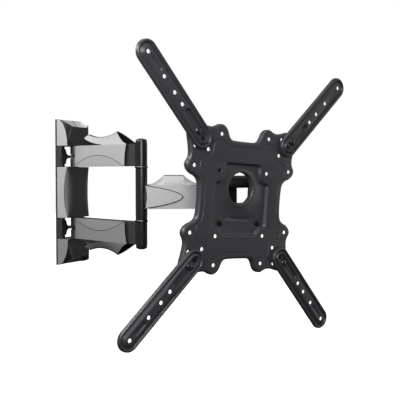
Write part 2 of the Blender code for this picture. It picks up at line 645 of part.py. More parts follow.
def tv_plate():
    """Pressed plate: rim bent back all round, sunken middle, lipped round hole."""
    made = Surface()

    def ring_of(points, inset, forward):
        moved = inward(points, inset) if inset else points
        return made.loop([(u, -forward, w - HOLE_W) for u, w in moved])

    edge = plate_outline()
    rims = [ring_of(edge, inset, at) for inset, at in ((0.0, -RIM), (0.9, -2.6), (4.2, 0.0))]
    for a, b in zip(rims, rims[1:]):
        made.bridge(a, b)
    holes = []
    for u, w in small_holes():
        holes.append(ring_of(circle(3.2, 7, (u, w)), 0, 0.0))
    for i in (-1, 1):
        for j in (-1, 1):
            holes.append(ring_of(circle(4.5, 10, (i * ARM_PIVOT, j * ARM_PIVOT)), 0, 0.0))
    sunk = recess_outline()
    steps = [ring_of(sunk, inset, at) for inset, at in ((0.0, 0.0), (1.6, -1.2), (3.8, -RECESS))]
    for a, b in zip(steps, steps[1:]):
        made.bridge(a, b)
    made.fill(rims[-1], [*holes, steps[0]], (0, 2))
    lip = []
    for radius, depth in ((HOLE_R + 4.0, 0.0), (HOLE_R + 2.4, -0.8), (HOLE_R, 0.8), (HOLE_R, 7.0)):
        lip.append(ring_of(circle(radius, 24, (0, HOLE_W)), 0, -RECESS - depth))
    for a, b in zip(lip, lip[1:]):
        made.bridge(a, b)
    floor_holes = []
    for side in (-1, 1):
        at = (side * LEVEL_BOLT_U, HOLE_W - LEVEL_BOLT_DOWN)
        floor_holes.append(ring_of(circle(3.4, 8, at), 0, -RECESS))
    made.fill(steps[-1], [lip[0], *floor_holes], (0, 2))
    return made.build("tv_plate", level, POWDER, facing=(0, -1, 0), sheet=SHEET, smooth=40)


def extension_arm(name, parent):
    """Pressed arm with rounded ends: rolled edge, groove, raised strip with four holes, pivot pocket."""
    made = Surface()

    def ring_of(half, forward, low=ARM_LOW, high=ARM_REACH, count=7):
        return made.loop([(u, -forward, w) for u, w in stadium(half, low, high, count)])

    steps = ((0.0, 0.8), (0.6, 4.4), (3.2, ARM_FRONT - 0.4), (5.4, 5.4), (7.2, 5.5), (8.8, ARM_FRONT))
    rims = [ring_of(ARM_HALF - inset, at) for inset, at in steps]
    for a, b in zip(rims, rims[1:]):
        made.bridge(a, b)
    pocket = [ring_of(half, at, ARM_LOW - 1.0, 34.0, 5) for half, at in ((7.6, ARM_FRONT), (6.9, 4.4), (6.4, 3.2))]
    for a, b in zip(pocket, pocket[1:]):
        made.bridge(a, b)
    holes = []
    for along in (49.5, 70.7, 99.0, ARM_REACH):
        holes.append(made.loop([(u, -ARM_FRONT, w) for u, w in circle(3.2, 7, (0.0, along))]))
    made.fill(rims[-1], [pocket[0], *holes], (0, 2))
    bore = made.loop([(u, -3.2, w) for u, w in circle(4.5, 10)])
    made.fill(pocket[-1], [bore], (0, 2))
    return made.build(name, parent, POWDER, facing=(0, -1, 0), sheet=SHEET, smooth=40)


# ---------------------------------------------------------------- everything in its place
ARM_MID = (TUBE_Z0 + TUBE_Z1) / 2
wall_plate()
for word, up in (("upper", 1), ("lower", -1)):
    for hand, side in (("left", -1), ("right", 1)):
        flange(f"wall_flange_{word}_{hand}", side, up * ARM_MID)
    pivot_bracket(f"pivot_bracket_{word}", up * ARM_MID)
    wall_pin(f"wall_pin_{word}", up * ARM_MID)
    wall_washers(word, up * ARM_MID)
    arm_tube(f"arm_tube_{word}", up)
    arm_cover(f"arm_cover_{word}", up)
    elbow_post(f"elbow_post_{word}", up)
    elbow_ring(f"elbow_ring_{word}", up)
end_cover("wall_cover_top", 1)
end_cover("wall_cover_bottom", -1)
middle_cover()

lathe("elbow_shaft", rear, ZINC, solid_profile((SHAFT_R, -SHAFT_END), (SHAFT_R, SHAFT_END)), (0, -REAR_L, 0))
lathe("elbow_post_middle", front, BLACK_GLOSS, ring_profile(SHAFT_R + GAP, POST_R, -FRONT_POST, FRONT_POST))
front_tube()
front_cover()
front_inlay("front_inlay_left", -1)
front_inlay("front_inlay_right", 1)

swivel_fork()
top, foot = FRONT_Z1 + 0.6 + FORK_T, FRONT_Z0 - 0.6 - FORK_T
pin = [(PIN_R, foot - 7.0), (PIN_R, top + GAP), (8.5, top + GAP), (8.5, top + 3.4), (7.0, top + 4.4)]
lathe("swivel_pin", head, BLACK_BOLT, solid_profile(*pin), count=20)
lathe("swivel_nut", head, BLACK_BOLT, ring_profile(PIN_R + GAP, 8.6, foot - 6.4, foot - GAP), hexagon=True)
lathe("tilt_sleeve", head, BLACK_PLASTIC, ring_profile(PIN_R, SLEEVE_R, -SLEEVE_HALF, SLEEVE_HALF),
      (0, -TILT_Y, TILT_Z), "X")
lathe("lock_sleeve", head, BLACK_PLASTIC, ring_profile(PIN_R - 1.0, 6.0, -SLEEVE_HALF, SLEEVE_HALF),
      (0, -TILT_Y + LOCK_DY, TILT_Z + LOCK_DZ), "X", 16)
LOCK_AT = (0, -TILT_Y + LOCK_DY, TILT_Z + LOCK_DZ)
bolt_end = EAR_U + EAR_T + GAP
lock = [(7.0, -bolt_end - 4.5), (7.0, -bolt_end), (3.0, -bolt_end), (3.0, bolt_end + 6.5)]
lathe("lock_bolt", head, BLACK_BOLT, solid_profile(*lock), LOCK_AT, "X", 12)
nut = ring_profile(3.0 + GAP, 6.0, bolt_end, bolt_end + 5.0)
lathe("lock_nut", head, BLACK_BOLT, nut, LOCK_AT, "X", hexagon=True)

tilt_bracket()
bolt = [(8.0, -bolt_end - 5.0), (8.0, -bolt_end), (4.0, -bolt_end), (4.0, bolt_end + 7.5)]
lathe("tilt_bolt", tilt, BLACK_BOLT, solid_profile(*bolt), (0, 0, 0), "X", 16)
nut = ring_profile(4.0 + GAP, 7.5, bolt_end, bolt_end + 6.0)
lathe("tilt_nut", tilt, BLACK_BOLT, nut, (0, 0, 0), "X", hexagon=True)

tv_plate()
for word, side in (("left", -1), ("right", 1)):
    at = (side * LEVEL_BOLT_U, 0, -LEVEL_BOLT_DOWN)
    back = -RECESS - SHEET - EAR_T - 2 * GAP
    stud = [(5.2, back - 4.2), (5.2, back), (3.0, back), (3.0, -RECESS + GAP), (5.0, -RECESS + GAP)]
    stud.append((5.0, -RECESS + 2.4))
    lathe(f"level_bolt_{word}", level, BLACK_BOLT, solid_profile(*stud), at, "Y", 12)
for word, corner in corners.items():
    extension_arm(f"extension_arm_{word}", corner)
    stud = [(4.0, -SHEET - 7.6), (4.0, 3.2 + GAP), (6.0, 3.2 + GAP), (6.0, 5.8), (5.2, 6.4)]
    lathe(f"arm_bolt_{word}", corner, BLACK_BOLT, solid_profile(*stud), (0, 0, 0), "Y", 12)
    nut = ring_profile(4.0 + GAP, 7.2, -SHEET - 6.2, -SHEET - GAP)
    lathe(f"arm_nut_{word}", corner, ZINC, nut, (0, 0, 0), "Y", hexagon=True)
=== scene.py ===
"""Looks of the full motion TV wall mount: pressings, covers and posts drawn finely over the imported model.

Lengths in the constants are millimetres. Every piece is drawn in the frame of its own link, whose
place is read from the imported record's joints: X to the right, Y back towards the wall, Z up.
"""
import json
import math

import bmesh
import bpy
from mathutils import Matrix, Vector
from mathutils.geometry import tessellate_polygon


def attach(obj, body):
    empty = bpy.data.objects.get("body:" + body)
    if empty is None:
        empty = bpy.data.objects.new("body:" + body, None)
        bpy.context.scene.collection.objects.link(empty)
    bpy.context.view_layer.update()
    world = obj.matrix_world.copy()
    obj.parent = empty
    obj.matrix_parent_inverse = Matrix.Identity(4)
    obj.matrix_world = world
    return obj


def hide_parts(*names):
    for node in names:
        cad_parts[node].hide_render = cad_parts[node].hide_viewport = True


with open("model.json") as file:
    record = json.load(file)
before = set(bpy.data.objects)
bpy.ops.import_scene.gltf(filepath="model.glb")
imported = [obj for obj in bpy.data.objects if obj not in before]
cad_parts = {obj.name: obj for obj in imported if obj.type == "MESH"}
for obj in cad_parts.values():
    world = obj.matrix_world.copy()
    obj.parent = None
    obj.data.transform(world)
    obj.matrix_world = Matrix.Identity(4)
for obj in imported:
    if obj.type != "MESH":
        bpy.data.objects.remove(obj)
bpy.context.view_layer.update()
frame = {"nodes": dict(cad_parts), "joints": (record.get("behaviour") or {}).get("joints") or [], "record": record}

MM = 0.001
UP = Vector((0, 0, 1))
LENS_MM, SENSOR_MM = 64.8, 36.0
CAMERA_AT = Vector((-0.9993, -0.8232, 0.0346))
CAMERA_LOOK = Vector((0.874, 0.4845, -0.0384))


# ---------------------------------------------------------------- links
joints = {joint["name"]: joint for joint in frame["joints"]}
mounts = {mount["name"]: mount for mount in frame["record"]["mounts"]}
CORNERS = [f"{level}_{hand}" for level in ("upper", "lower") for hand in ("left", "right")]


def spot(joint):
    return Vector(joints[joint]["pos_m"])


def link(origin, back, up):
    """Frame of a link: Y is back, Z as near to up as it can be."""
    y = back.normalized()
    x = y.cross(up).normalized()
    turn = Matrix((x, y, x.cross(y))).transposed().to_4x4()
    return Matrix.Translation(origin) @ turn


WALL = Matrix.Identity(4)
REAR = link(spot("arm_swing"), spot("arm_swing") - spot("elbow_swing"), UP)
FRONT = link(spot("elbow_swing"), spot("elbow_swing") - spot("head_swivel"), UP)
PLATE_BACK = Vector(joints["plate_level"]["axis"])
ACROSS = spot("arm_pivot_upper_right") - spot("arm_pivot_upper_left")
PLATE = link(spot("plate_level"), PLATE_BACK, ACROSS.cross(PLATE_BACK))
ARMS = {}
for corner in CORNERS:
    pivot = spot(f"arm_pivot_{corner}")
    ARMS[corner] = link(pivot, PLATE_BACK, Vector(mounts[f"screen_face_{corner}"]["pos_m"]) - pivot)


# ---------------------------------------------------------------- materials
def node(tree, kind, **values):
    """A new shader node with the values of some of its sockets."""
    made = tree.nodes.new(kind)
    for name, value in values.items():
        made.inputs[name].default_value = value
    return made


RAMP_FROM, RAMP_TO = 0.3, 0.7  # the part of a noise that tint and gloss follow
WIDE_GRAIN, RELIEF_M, COAT_ROUGH = 18.0, 0.0002, 0.15


def finish(name, dark, light, grain, rough, bump, fine=0.0, metallic=0.0, coat=0.0, squeeze=(1, 1, 1)):
    """A painted, moulded or plated surface: mottled tint, uneven gloss and a fine texture in relief."""
    made = bpy.data.materials.new(name)
    made.use_nodes = True
    tree = made.node_tree
    shader = tree.nodes["Principled BSDF"]
    shader.inputs["Metallic"].default_value = metallic
    shader.inputs["Coat Weight"].default_value = coat
    shader.inputs["Coat Roughness"].default_value = COAT_ROUGH
    where = node(tree, "ShaderNodeTexCoord")
    scaled = node(tree, "ShaderNodeMapping")
    scaled.inputs["Scale"].default_value = squeeze
    tree.links.new(where.outputs["Object"], scaled.inputs["Vector"])
    cloud = node(tree, "ShaderNodeTexNoise", Scale=grain, Detail=5.0, Roughness=0.6)
    wide = node(tree, "ShaderNodeTexNoise", Scale=WIDE_GRAIN, Detail=2.0)
    for noise in (cloud, wide):
        tree.links.new(scaled.outputs["Vector"], noise.inputs["Vector"])
    tint = node(tree, "ShaderNodeValToRGB")
    for stop, place, colour in zip(tint.color_ramp.elements, (RAMP_FROM, RAMP_TO), (dark, light)):
        stop.position, stop.color = place, (*colour, 1)
    tree.links.new(cloud.outputs["Fac"], tint.inputs["Fac"])
    tree.links.new(tint.outputs["Color"], shader.inputs["Base Color"])
    gloss = node(tree, "ShaderNodeMapRange")
    gloss.inputs["From Min"].default_value, gloss.inputs["From Max"].default_value = RAMP_FROM, RAMP_TO
    gloss.inputs["To Min"].default_value, gloss.inputs["To Max"].default_value = rough
    tree.links.new(wide.outputs["Fac"], gloss.inputs["Value"])
    tree.links.new(gloss.outputs["Result"], shader.inputs["Roughness"])
    relief = node(tree, "ShaderNodeTexNoise", Scale=fine or grain, Detail=3.0)
    tree.links.new(scaled.outputs["Vector"], relief.inputs["Vector"])
    rise = node(tree, "ShaderNodeBump", Strength=bump, Distance=RELIEF_M)
    tree.links.new(relief.outputs["Fac"], rise.inputs["Height"])
    tree.links.new(rise.outputs["Normal"], shader.inputs["Normal"])
    return made


POWDER = finish("powder_coat", (0.036, 0.037, 0.042), (0.049, 0.050, 0.056), 700, (0.34, 0.42), 0.04, 600,
                metallic=0.2, coat=0.15)
CAST = finish("black_powder", (0.010, 0.010, 0.011), (0.019, 0.019, 0.021), 900, (0.38, 0.5), 0.3, 1500)
SILVER = finish("silver_paint", (0.39, 0.39, 0.395), (0.46, 0.46, 0.465), 2600, (0.30, 0.38), 0.05, 3000,
                metallic=0.25, coat=0.2)
# The same silver paint darkened: painted shade for the bottom cover and the lower arm cover, which the light
# reaches less.
SHADED_SILVER = finish("painted_shade_silver", (0.24, 0.24, 0.245), (0.285, 0.285, 0.29), 2600, (0.30, 0.38), 0.05, 3000,
                    metallic=0.25, coat=0.2)
DOTTED = finish("dotted_silver", (0.37, 0.37, 0.375), (0.46, 0.46, 0.465), 1500, (0.34, 0.42), 0.5, 900,
                metallic=0.2)
GLOSS = finish("gloss_black", (0.006, 0.006, 0.007), (0.011, 0.011, 0.012), 300, (0.24, 0.34), 0.02, 500,
               coat=0.3)
# Grey in place of gloss black: painted sheen and reflection on the lenses of the middle cover.
LENS_SHEEN = finish("painted_sheen_grey", (0.085, 0.085, 0.088), (0.115, 0.115, 0.118), 900, (0.26, 0.34), 0.05, 1500,
               coat=0.3)
POST = finish("post_paint", (0.006, 0.006, 0.007), (0.011, 0.011, 0.012), 600, (0.12, 0.2), 0.03, 900, coat=0.5)
TUBE = finish("tube_paint", (0.024, 0.024, 0.026), (0.036, 0.036, 0.038), 800, (0.36, 0.48), 0.15, 1400)
# Near black for dark seams and joint lines, and also painted shade inside the covers, in the top scoop's crease
# and on the upper hood web.
LINE = finish("dark_line", (0.004, 0.004, 0.004), (0.008, 0.008, 0.008), 900, (0.4, 0.55), 0.1)
ZINC = finish("zinc_plate", (0.36, 0.36, 0.37), (0.48, 0.48, 0.49), 500, (0.22, 0.36), 0.08, 1200,
              metallic=1.0, squeeze=(1, 1, 8))
RING = finish("ring_steel", (0.09, 0.09, 0.093), (0.14, 0.14, 0.144), 500, (0.2, 0.32), 0.08, 1200,
              metallic=1.0, squeeze=(1, 1, 8))
OXIDE = finish("black_oxide", (0.020, 0.020, 0.022), (0.04, 0.04, 0.043), 700, (0.22, 0.34), 0.08,
               metallic=0.85)
BOLT = finish("dark_bolt", (0.06, 0.06, 0.065), (0.11, 0.11, 0.115), 700, (0.18, 0.28), 0.05, metallic=0.9)
NYLON = finish("nylon", (0.020, 0.020, 0.020), (0.036, 0.036, 0.036), 400, (0.5, 0.6), 0.1)


# ---------------------------------------------------------------- drawing
WELD = 0.002  # points nearer than this are one


class Shape:
    """Points and faces of one piece, in millimetres in its link's frame."""

    def __init__(self):
        self.points, self.faces, self.looks = [], [], []

    def loop(self, points):
        """Adds points and returns their numbers."""
        start = len(self.points)
        self.points += points
        return list(range(start, len(self.points)))

    def face(self, corners, look=0):
        self.faces.append(tuple(corners))
        self.looks.append(look)

    def bridge(self, a, b, closed=True, look=0):
        """Quads between two loops or rows of as many points."""
        for i in range(len(a) if closed else len(a) - 1):
            j = (i + 1) % len(a)
            self.face((a[i], a[j], b[j], b[i]), look)

    def chain(self, loops, closed=True, look=0):
        for a, b in zip(loops, loops[1:]):
            self.bridge(a, b, closed, look)

    def fill(self, outer, holes=(), flat=(0, 2), look=0):
        """Triangles inside an outline and outside its holes; flat is the pair of axes it lies along."""
        loops = [outer, *holes]
        index = [i for one in loops for i in one]
        seen = [[(self.points[i][flat[0]], self.points[i][flat[1]], 0.0) for i in one] for one in loops]
        for corners in tessellate_polygon(seen):
            self.face((index[i] for i in corners), look)

    def build(self, name, at, looks, sheet=0.0, facing=None, smooth=32, shade_inside=0):
        """The piece as an object. Edges sharper than smooth degrees stay sharp, and so do open ones. A sheet
        is thickened away from facing, or inwards, and its inside and rim take the look that many further down the
        list, which the covers use for painted shade."""
        mesh = bpy.data.meshes.new(name)
        shape = bmesh.new()
        made = [shape.verts.new(at @ (Vector(p) * MM)) for p in self.points]
        for corners, look in zip(self.faces, self.looks):
            if len(set(corners)) > 2:
                shape.faces.new([made[i] for i in dict.fromkeys(corners)]).material_index = look
        bmesh.ops.remove_doubles(shape, verts=shape.verts, dist=WELD * MM)
        bmesh.ops.delete(shape, geom=[v for v in shape.verts if not v.link_faces], context="VERTS")
        bmesh.ops.recalc_face_normals(shape, faces=shape.faces)
        if sheet:
            shape.normal_update()
            areas = [(f.calc_area(), f.normal, f.calc_center_median()) for f in shape.faces]
            middle = sum((c * area for area, _, c in areas), Vector()) / sum(area for area, _, _ in areas)
            way = at.to_3x3() @ Vector(facing) if facing else None
            if sum(area * normal.dot(way or c - middle) for area, normal, c in areas) < 0:
                bmesh.ops.reverse_faces(shape, faces=shape.faces)
        shape.edges.index_update()
        open_edges = [edge.index for edge in shape.edges if edge.is_boundary]
        shape.to_mesh(mesh)
        shape.free()
        for look in looks:
            mesh.materials.append(look)
        mesh.shade_smooth()
        mesh.set_sharp_from_angle(angle=math.radians(smooth))
        for i in open_edges:
            mesh.edges[i].use_edge_sharp = True
        piece = bpy.data.objects.new(name, mesh)
        bpy.context.scene.collection.objects.link(piece)
        if sheet:
            solid = piece.modifiers.new("sheet", "SOLIDIFY")
            solid.thickness, solid.offset, solid.use_even_offset = sheet * MM, -1.0, True
            solid.material_offset = solid.material_offset_rim = shade_inside
        return piece


def show(piece, body, slot, *nodes):
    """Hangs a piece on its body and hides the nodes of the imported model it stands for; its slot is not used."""
    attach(piece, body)
    if nodes:
        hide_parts(*nodes)
    return piece


def circle(radius, count, at=(0.0, 0.0), start=0.0, sweep=360.0):
    """Points round a circle, or along an arc with both of its ends."""
    steps = count if sweep == 360.0 else count - 1
    turn = [math.radians(start + sweep * i / steps) for i in range(count)]
    return [(at[0] + radius * math.cos(a), at[1] + radius * math.sin(a)) for a in turn]


def stadium(half, low, high, count):
    """Outline of a slot between two heights, count points round each end."""
    return circle(half, count, (0, high), 0, 180) + circle(half, count, (0, low), 180, 180)


def softened(points, rounds):
    """A closed outline with its corners cut, a number of times over."""
    for _ in range(rounds):
        found = []
        for (ax, ay), (bx, by) in zip(points, points[1:] + points[:1]):
            for t in (0.25, 0.75):
                found.append((ax + (bx - ax) * t, ay + (by - ay) * t))
        points = found
    return points


CORNER_SHARE, SHORTEST = 0.48, 0.01  # how much of a side a corner may take; shorter corners stay sharp


def rounded(points, radius, steps=6):
    """A closed outline with every corner rounded, as far as its shorter side allows."""
    found = []
    for i, corner in enumerate(points):
        here, before, after = (Vector(p) for p in (corner, points[i - 1], points[(i + 1) % len(points)]))
        to_before, to_after = before - here, after - here
        half = to_before.angle(to_after) / 2
        reach = min(radius / math.tan(half), *(CORNER_SHARE * side.length for side in (to_before, to_after)))
        if reach < SHORTEST:
            found.append(tuple(here))
            continue
        a, b = here + to_before.normalized() * reach, here + to_after.normalized() * reach
        for t in (j / steps for j in range(steps + 1)):
            found.append(tuple(a * (1 - t) ** 2 + here * 2 * t * (1 - t) + b * t * t))
    return found


def inward(points, inset):
    """A closed outline moved inwards, each point square to the line between its neighbours."""
    moved = []
    for i, (x, y) in enumerate(points):
        (px, py), (qx, qy) = points[i - 1], points[(i + 1) % len(points)]
        length = math.dist((px, py), (qx, qy))
        moved.append((x - (qy - py) / length * inset, y + (qx - px) / length * inset))
    return moved


def between(stations, values, at):
    """Value at a place along a list of stations, read in straight lines between them."""
    for (a, b), (u, v) in zip(zip(stations, stations[1:]), zip(values, values[1:])):
        if at <= b:
            return u + (v - u) * max(0.0, (at - a) / (b - a))
    return values[-1]


def turned(name, at, profile, centre, along, looks, count):
    """A lathe-turned piece on an upright axis (Z), or with its heights counted forwards (Y). Points of
    the profile are (radius, height)."""
    made = Shape()
    rings = []
    for radius, height in profile:
        flat = circle(radius, count)
        if along == "Z":
            ring = [(centre[0] + x, centre[1] + y, centre[2] + height) for x, y in flat]
        else:
            ring = [(centre[0] + x, centre[1] - height, centre[2] + y) for x, y in flat]
        rings.append(made.loop(ring))
    made.chain(rings)
    return made.build(name, at, looks)


# ---------------------------------------------------------------- wall unit
WALL_HALF, WALL_TOP, WALL_BACK, COVER_D = 29.8, 126.0, 3.4, 26.0
ZONE_LOW, ZONE_HIGH, COVER_GAP = 44.5, 80.0, 0.6
BODY_POWER, BODY_STEPS, SCOOP_STEPS, HALVINGS = 0.13, 18, 6, 30
SCOOP_LIP, SCOOP_SAG, SAG_POWER, SCOOP_LEAN = 12.4, 2.6, 1.2, 0.45
# From which share of the half width a cover rounds off, how fast, and two powers for how its lip runs out.
LEFT_SIDE, RIGHT_SIDE = (0.45, 1.5, 4, 0.8), (0.96, 2, 12, 0.7)
MIDDLE_ROWS, CHAMFER_STEPS, CHAMFER = 40, 12, 0.8
LENS_SIDE, LENS_LEFT, LENS_RIGHT = 7.4, 27.0, 15.0


def body_profile(height, depth, power, lip):
    """Front of an end cover in side view, from its foot to the edge of the scoop across its end."""
    def point(t):
        return depth * math.cos(t) ** power, height * math.sin(t) ** power

    first, last = 0.0, math.pi / 2
    for _ in range(HALVINGS):
        middle = (first + last) / 2
        y, z = point(middle)
        first, last = (middle, last) if z < height - lip * y / depth else (first, middle)
    return [point(first * i / BODY_STEPS) for i in range(BODY_STEPS + 1)]


def end_cover(word, up, paint, scoop_painted_light, crease_painted_shade):
    """One end cover: quarter-round silver side panels, a black body and a scoop across its end.

    Look 0 is black, 1 the silver paint and 2 the dark line of the crease down the middle of the scoop, which is
    painted shade. A scoop in look 1 is a painted highlight, silver where it catches the light; in look 0 it keeps
    the black of the body.
    """
    low = ZONE_HIGH + COVER_GAP
    height, depth = WALL_TOP - low, COVER_D - WALL_BACK
    made = Shape()
    fronts, scoops = [], []
    half = [0.04] + [0.08 * i for i in range(1, 12)] + [0.91, 0.93, 0.95, 0.965, 0.98, 0.99, 1.0]
    columns = [-k for k in reversed(half)] + half
    for k in columns:
        start, rate, fall, fall_power = LEFT_SIDE if k < 0 else RIGHT_SIDE
        blend = max(0.0, (abs(k) - start) / (1.0 - start)) ** rate
        lip = SCOOP_LIP * (1.0 - k ** fall) ** fall_power
        front = body_profile(height, depth, BODY_POWER + (1.0 - BODY_POWER) * blend, lip)
        edge_y, edge_z = front[-1]
        x = WALL_HALF * k
        sag = SCOOP_SAG * (1.0 - abs(k)) ** SAG_POWER
        lean = SCOOP_LEAN * WALL_HALF * (1.0 - k * k)
        scoop = []
        for i in range(SCOOP_STEPS + 1):
            t = i / SCOOP_STEPS
            z = edge_z + (height - edge_z) * t - sag * math.sin(math.pi * t)
            scoop.append((x + lean * i / SCOOP_STEPS, -WALL_BACK - edge_y * (1 - t), up * (low + z)))
        fronts.append(made.loop([(x, -WALL_BACK - y, up * (low + z)) for y, z in front]))
        scoops.append(made.loop(scoop))
    made.chain(fronts, closed=False)
    for i, (a, b) in enumerate(zip(scoops, scoops[1:])):
        made.bridge(a, b, closed=False, look=crease_painted_shade if i == len(half) - 1 else scoop_painted_light)
    for k, (front, scoop) in ((-1, (fronts[0], scoops[0])), (1, (fronts[-1], scoops[-1]))):
        foot = made.loop([(k * WALL_HALF, -WALL_BACK, up * low)])[0]
        rim = front + scoop[1:]
        for a, b in zip(rim, rim[1:]):
            made.face((foot, a, b), 1)
    floor = [one[0] for one in fronts]
    ends = made.loop([(k * WALL_HALF, -WALL_BACK, up * low) for k in columns])
    made.bridge(floor, ends, closed=False)
    piece = made.build(f"cover_{word}", WALL, [GLOSS, paint, LINE], smooth=28)
    return show(piece, "wall", "cover_black", f"wall_cover_{word}")


def middle_cover():
    """The cover between the arms: silver sides, and a lens-shaped facet round each front corner, its grey strips a
    painted sheen and reflection on the gloss black.
    """
    high = ZONE_LOW - COVER_GAP
    turns = [math.pi / 2 * i / CHAMFER_STEPS for i in range(CHAMFER_STEPS + 1)]
    curve = [(1.0 - math.cos(t) ** 0.5, 1.0 - max(0.0, math.sin(t)) ** 0.5) for t in turns]
    # Look 2 is painted sheen across the left lens and a thin painted reflection line on the right one.
    looks = [1] + [2] * 7 + [0] * 7 + [2] + [0] * 10 + [1]  # from the left side round to the right
    made = Shape()
    rows = []
    for i in range(MIDDLE_ROWS + 1):
        z = -high + 2.0 * high * i / MIDDLE_ROWS
        lens = 1.0 - (z / high) ** 2
        side, left, right = (CHAMFER + wide * lens for wide in (LENS_SIDE, LENS_LEFT, LENS_RIGHT))
        plan = [(-WALL_HALF, WALL_BACK)] + [(-WALL_HALF + left * u, COVER_D - side * v) for u, v in curve]
        plan += [(WALL_HALF - right * u, COVER_D - side * v) for u, v in reversed(curve)]
        plan.append((WALL_HALF, WALL_BACK))
        rows.append(made.loop([(x, -y, z) for x, y in plan]))
    for a, b in zip(rows, rows[1:]):
        for j, look in enumerate(looks):
            made.face((a[j], a[j + 1], b[j + 1], b[j]), look)
    made.face(rows[0])
    made.face(rows[-1])
    made.face([row[0] for row in rows] + [row[-1] for row in reversed(rows)])
    piece = made.build("cover_middle", WALL, [GLOSS, SILVER, LENS_SHEEN], smooth=25)
    return show(piece, "wall", "cover_black", "wall_cover_middle")


# ---------------------------------------------------------------- rear arms
SHELL_HALF, SHELL_T, SHELL_S0, SHELL_S1, LENS_D = 13.6, 1.6, 7.5, 144.0, 2.0
HOOD_FOOT, HOOD_BEAK, HOOD_START, HOOD_END = 82.0, 25.0, 32.5, 106.0
HOOD_H, HOOD_DIP, DIP_AT, HOOD_ROUND, RIDGE_HALF = 22.0, 14.0, 0.45, 0.8, 0.9
BEAK_SHARE, LENS_END, END_CUT, END_POWER = 0.58, 133.0, 4.5, 0.6
FACET_TOP, FACET_DIP, SEAM = 0.03, 0.47, 0.026  # shares of the cover's height
PANEL_HOLLOW, HOLLOW_POWER = 1.8, 6
NEAR, HOOD = 14, 30  # columns before the hood's foot and along the hood
WEB_HALF = 0.7


def arm_cover(word, up, paint, web_light_and_shade):
    """Silver cover of a rear arm, its inside and rims black as painted shade, with a dark seam along its ridge and
    its facets.

    Its side is drawn in rows along the arm. A row's share is how far up the side it is, or None for
    the curved edge of the lens-shaped facet. A share of the hood is counted from its foot to its ridge.
    """
    made = Shape()
    height = ZONE_HIGH - ZONE_LOW
    last = NEAR + HOOD - 1
    near = [SHELL_S0 + (HOOD_FOOT - SHELL_S0) * i / NEAR for i in range(NEAR)]

    def side_row(side, share, lift=0.0):
        end = SHELL_S1 - END_CUT * (1.0 - (share or 0.0)) ** END_POWER
        row = []
        for i in range(NEAR + HOOD):
            s = near[i] if i < NEAR else HOOD_FOOT + (end - HOOD_FOOT) * (i - NEAR) / (HOOD - 1)
            lens = max(0.0, 1.0 - ((2.0 * s - SHELL_S0 - LENS_END) / (LENS_END - SHELL_S0)) ** 2)
            drop = FACET_TOP + FACET_DIP * lens + lift if share is None else share
            x = SHELL_HALF - (LENS_D * lens if share == 0.0 else 0.0)
            row.append((side * x, -s, up * (ZONE_LOW + height * drop)))
        return row

    def hood_row(side, share):
        start = HOOD_FOOT + (HOOD_BEAK - HOOD_FOOT) * share / BEAK_SHARE
        if share > BEAK_SHARE:
            start = HOOD_BEAK + (HOOD_START - HOOD_BEAK) * (share - BEAK_SHARE) / (1.0 - BEAK_SHARE)
        end = SHELL_S1 - (SHELL_S1 - HOOD_END) * share ** END_POWER
        row = []
        for i in range(HOOD):
            s = start + (end - start) * i / (HOOD - 1)
            u = (s - HOOD_START) / (HOOD_END - HOOD_START)
            ridge = HOOD_DIP + (HOOD_H - HOOD_DIP) * (abs(u - DIP_AT) / (1.0 - DIP_AT)) ** 2
            x = SHELL_HALF * (1.0 - share) ** HOOD_ROUND + RIDGE_HALF * share
            row.append((side * x, -s, up * (ZONE_HIGH + ridge * share)))
        return row

    ridges = []
    for side in (-1, 1):
        facet = [made.loop(side_row(side, 0.0)), made.loop(side_row(side, None))]
        low_row, top_row = side_row(side, None, SEAM), side_row(side, 1.0)
        panel = [made.loop(low_row)]
        for t in (0.25, 0.5, 0.75, 1.0):
            cut = PANEL_HOLLOW * math.sin(math.pi * t)
            row = []
            for i, (a, b) in enumerate(zip(low_row, top_row)):
                row.append((a[0], a[1] + (b[1] - a[1]) * t + cut * (i / last) ** HOLLOW_POWER,
                            a[2] + (b[2] - a[2]) * t))
            panel.append(made.loop(row))
        made.bridge(*facet, closed=False)
        made.bridge(facet[1], panel[0], closed=False, look=1)
        made.chain(panel, closed=False)
        shares = [BEAK_SHARE * i / 8 for i in range(1, 9)] + [0.65, 0.72, 0.79, 0.86, 0.93, 1.0]
        rows = [panel[-1][NEAR:]] + [made.loop(hood_row(side, share)) for share in shares]
        made.chain(rows[:-1], closed=False)
        made.bridge(rows[-2], rows[-1], closed=False, look=1)
        ridges.append(rows[-1])
    made.bridge(*ridges, closed=False, look=1)
    piece = made.build(f"arm_shell_{word}", REAR, [paint, LINE], sheet=SHELL_T, smooth=14, shade_inside=1)
    show(piece, "rear_arms", "cover_silver", f"arm_cover_{word}")
    # A thin sheet in the hood that paints its inside: black as painted shade on the upper arm, darkened silver for
    # the lit far wall on the lower arm.
    web = [(SHELL_S0 + 1.0, 0.6), (HOOD_BEAK + 2.0, 12.0), (HOOD_START + 4.0, 16.6),
           (HOOD_START + 22.0, 13.0), (HOOD_FOOT - 4.0, 0.6)]
    made = Shape()
    rims = [made.loop([(x, -s, up * (ZONE_HIGH + z)) for s, z in web]) for x in (-WEB_HALF, WEB_HALF)]
    for rim in rims:
        made.fill(rim, (), (1, 2))
    made.bridge(*rims)
    web_piece = made.build(f"hood_web_{word}", REAR, [web_light_and_shade])
    return show(web_piece, "rear_arms", "cover_silver")


# ---------------------------------------------------------------- elbow
POST_R, POST_END, DOME, SHAFT_R, POST_MIDDLE, EDGE = 9.4, 84.0, 4.5, 5.4, 41.0, 0.4
GROOVE, RING_R, RING_GAP = 0.7, 10.5, 0.05


